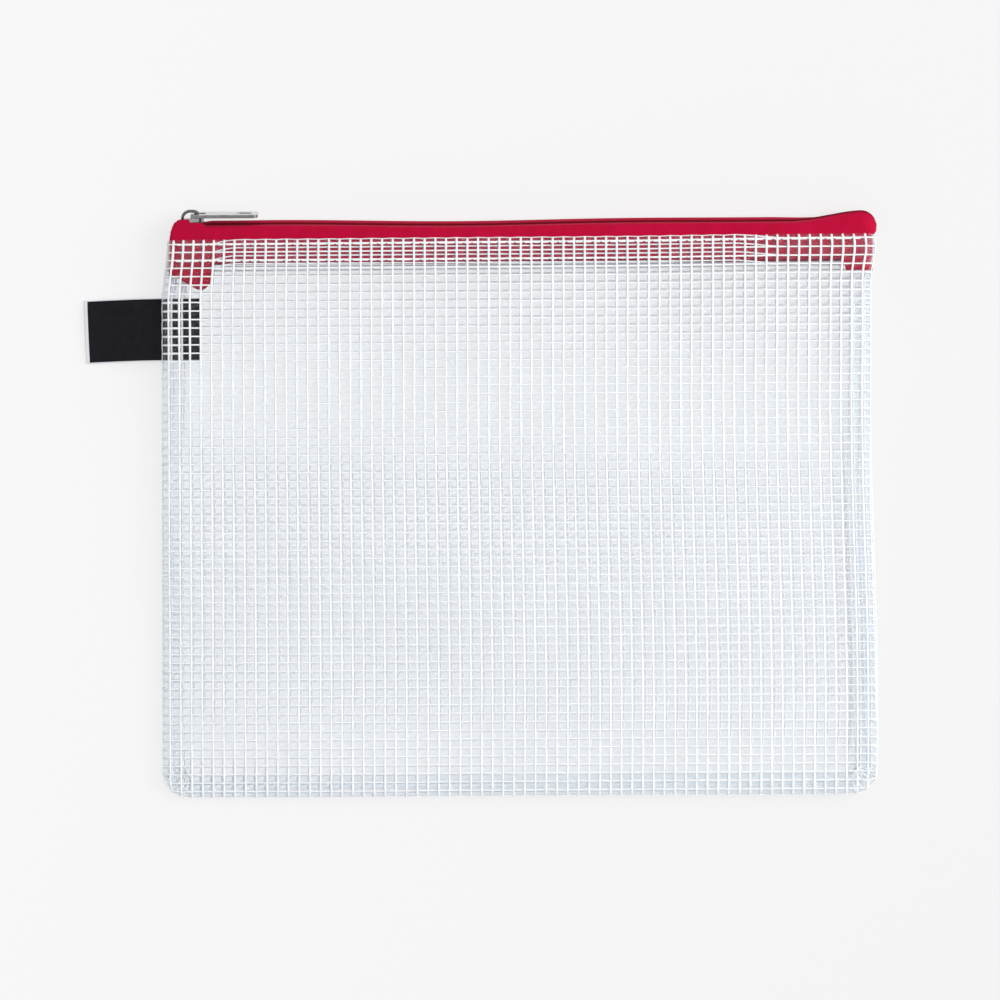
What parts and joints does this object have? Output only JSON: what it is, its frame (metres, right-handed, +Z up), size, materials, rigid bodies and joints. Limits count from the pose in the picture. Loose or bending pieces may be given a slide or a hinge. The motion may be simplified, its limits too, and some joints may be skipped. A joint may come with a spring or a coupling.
{
  "type": "mesh zipper pouch",
  "caption": "Flat see-through film pouch with a woven-in thread grid, a red zipper along its mouth, a metal slider with a pull tab and a folded ribbon label.",
  "frame": {"origin": "middle of the pouch on its underside, as it lies on its back", "axes": "+X along the zipper from its closed end to its open end, +Y from the bottom seam to the zipper, +Z up out of the front panel"},
  "size_m": [0.2671, 0.1991, 0.0124],
  "materials": {
    "film": "clear film with white threads laid in it",
    "tape": "woven polyester, smooth",
    "coil": "nylon coil",
    "metal": "bright plating on zinc",
    "label": "woven ribbon with a white selvage"
  },
  "bodies": {
    "pouch": {"front_panel": "film", "back_panel": "film", "tape_front": "tape", "tape_back": "tape", "coil_front": "coil", "coil_back": "coil", "label_ribbon": "label"},
    "slider": {"slider_body": "metal"},
    "pull": {"pull_tab": "metal"}
  },
  "joints": [
    {"name": "slider_slide", "type": "slide", "parent": "pouch", "child": "slider", "axis": [1, 0, 0], "range_m": [0, 0.198], "deforming": ["coil_front", "coil_back"]},
    {"name": "pull_hinge", "type": "hinge", "parent": "slider", "child": "pull", "pos_m": [-0.1097, 0.09953, 0.0075], "axis": [0, -0.2756, 0.9613], "range_deg": [0, 180]}
  ]
}
